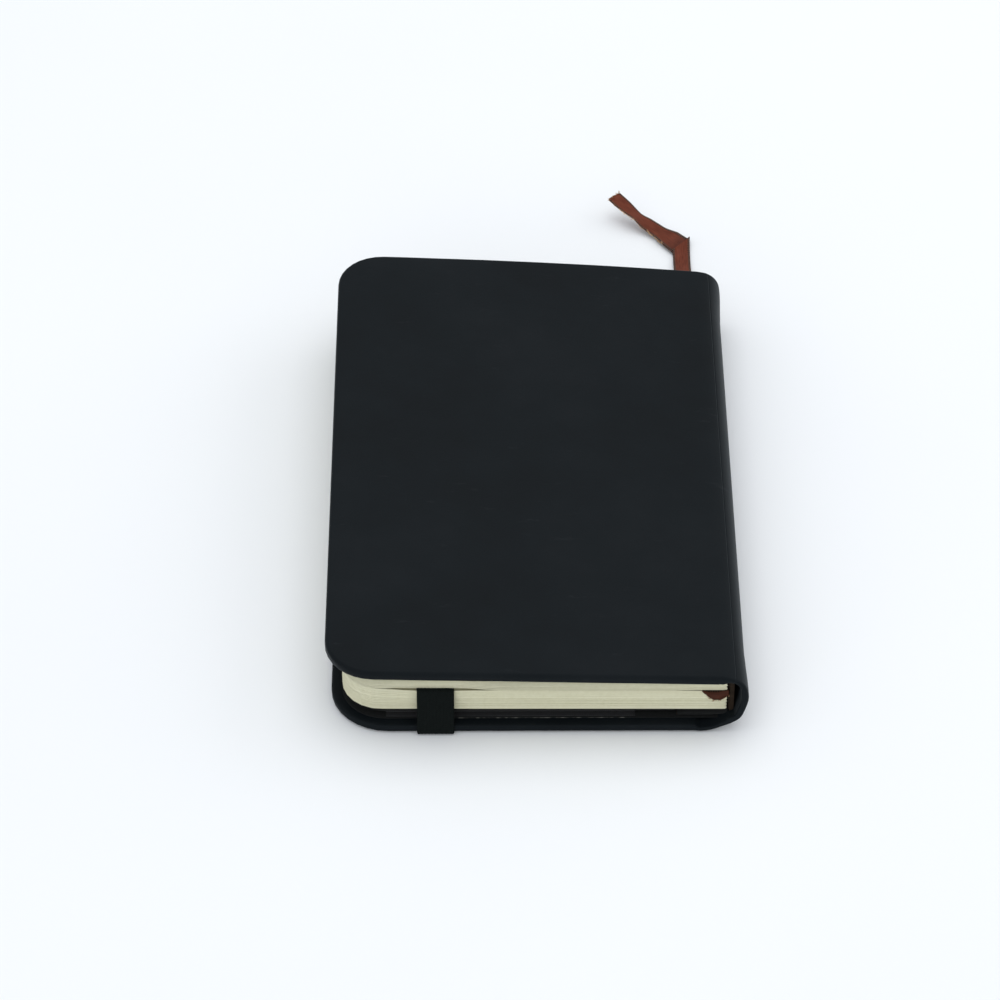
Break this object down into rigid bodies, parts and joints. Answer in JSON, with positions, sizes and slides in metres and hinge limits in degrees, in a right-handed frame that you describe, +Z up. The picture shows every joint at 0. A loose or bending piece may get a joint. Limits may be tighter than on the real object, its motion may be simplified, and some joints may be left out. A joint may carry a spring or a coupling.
{
  "type": "pocket notebook",
  "caption": "Pocket hardcover notebook with sewn pages, black soft wrap, rear pocket, ribbon marker and an elastic strap that holds the lower leaves.",
  "frame": {"origin": "on the ground, under the middle of the closed book (covers and strap, without the loose ribbon tail)", "axes": "+X towards the spine, +Y towards the tail edge of the book, +Z up through the front cover"},
  "size_m": [0.09, 0.1854, 0.0196],
  "materials": {
    "cover_wrap": "soft-touch matt",
    "grey_board": "matt grey board",
    "endpaper": "matt black paper",
    "pocket_card": "matt black card",
    "pocket_cloth": "woven black cloth",
    "mull": "open gauze",
    "spine_lining": "brown kraft paper",
    "thread": "twisted linen",
    "ribbon": "satin",
    "elastic": "woven elastic",
    "page_paper": "uncoated cream paper"
  },
  "bodies": {
    "root": {"cover_wrap_back_and_spine": "cover_wrap", "back_board": "grey_board", "spine_card": "grey_board", "back_pastedown": "endpaper", "pocket_panel": "pocket_card", "pocket_gusset_head": "pocket_cloth", "pocket_gusset_tail": "pocket_cloth", "back_flyleaf": "endpaper", "section_05": "page_paper", "section_06": "page_paper", "section_07": "page_paper", "section_08": "page_paper", "section_09": "page_paper", "section_10": "page_paper", "spine_mull": "mull", "spine_lining": "spine_lining", "sewing_thread": "thread", "ribbon_bookmark": "ribbon", "ribbon_tail": "ribbon", "elastic_strap_ends": "elastic"},
    "front_cover": {"cover_wrap_front": "cover_wrap", "front_board": "grey_board", "front_pastedown": "endpaper"},
    "front_flyleaf": {"front_flyleaf": "endpaper"},
    "elastic_strap": {"elastic_strap": "elastic"},
    "section_01": {"section_01": "page_paper"},
    "section_02": {"section_02": "page_paper"},
    "section_03": {"section_03": "page_paper"},
    "section_04": {"section_04": "page_paper"}
  },
  "joints": [
    {"name": "front_cover_hinge", "type": "hinge", "parent": "root", "child": "front_cover", "pos_m": [0.04147, 0, 0.01563], "axis": [0, 1, 0], "range_deg": [0, 180]},
    {"name": "front_flyleaf_turn", "type": "hinge", "parent": "root", "child": "front_flyleaf", "pos_m": [0.04147, 0, 0.01563], "axis": [0, 1, 0], "range_deg": [0, 180]},
    {"name": "section_01_turn", "type": "hinge", "parent": "root", "child": "section_01", "pos_m": [0.04147, 0, 0.01563], "axis": [0, 1, 0], "range_deg": [0, 180]},
    {"name": "section_02_turn", "type": "hinge", "parent": "root", "child": "section_02", "pos_m": [0.04147, 0, 0.01563], "axis": [0, 1, 0], "range_deg": [0, 180]},
    {"name": "section_03_turn", "type": "hinge", "parent": "root", "child": "section_03", "pos_m": [0.04147, 0, 0.01563], "axis": [0, 1, 0], "range_deg": [0, 180]},
    {"name": "section_04_turn", "type": "hinge", "parent": "root", "child": "section_04", "pos_m": [0.04147, 0, 0.01563], "axis": [0, 1, 0], "range_deg": [0, 180]},
    {"name": "elastic_strap_pull", "type": "slide", "parent": "root", "child": "elastic_strap", "axis": [-0.9999, 0, 0.0135], "range_m": [0, 0.0275], "stiffness_N_per_m": 60}
  ],
  "couplings": [
    {"joint": "front_flyleaf_turn", "follows": "front_cover_hinge", "ratio": 0.995},
    {"joint": "section_01_turn", "follows": "front_cover_hinge", "ratio": 0.985},
    {"joint": "section_02_turn", "follows": "front_cover_hinge", "ratio": 0.976},
    {"joint": "section_03_turn", "follows": "front_cover_hinge", "ratio": 0.967},
    {"joint": "section_04_turn", "follows": "front_cover_hinge", "ratio": 0.958}
  ]
}
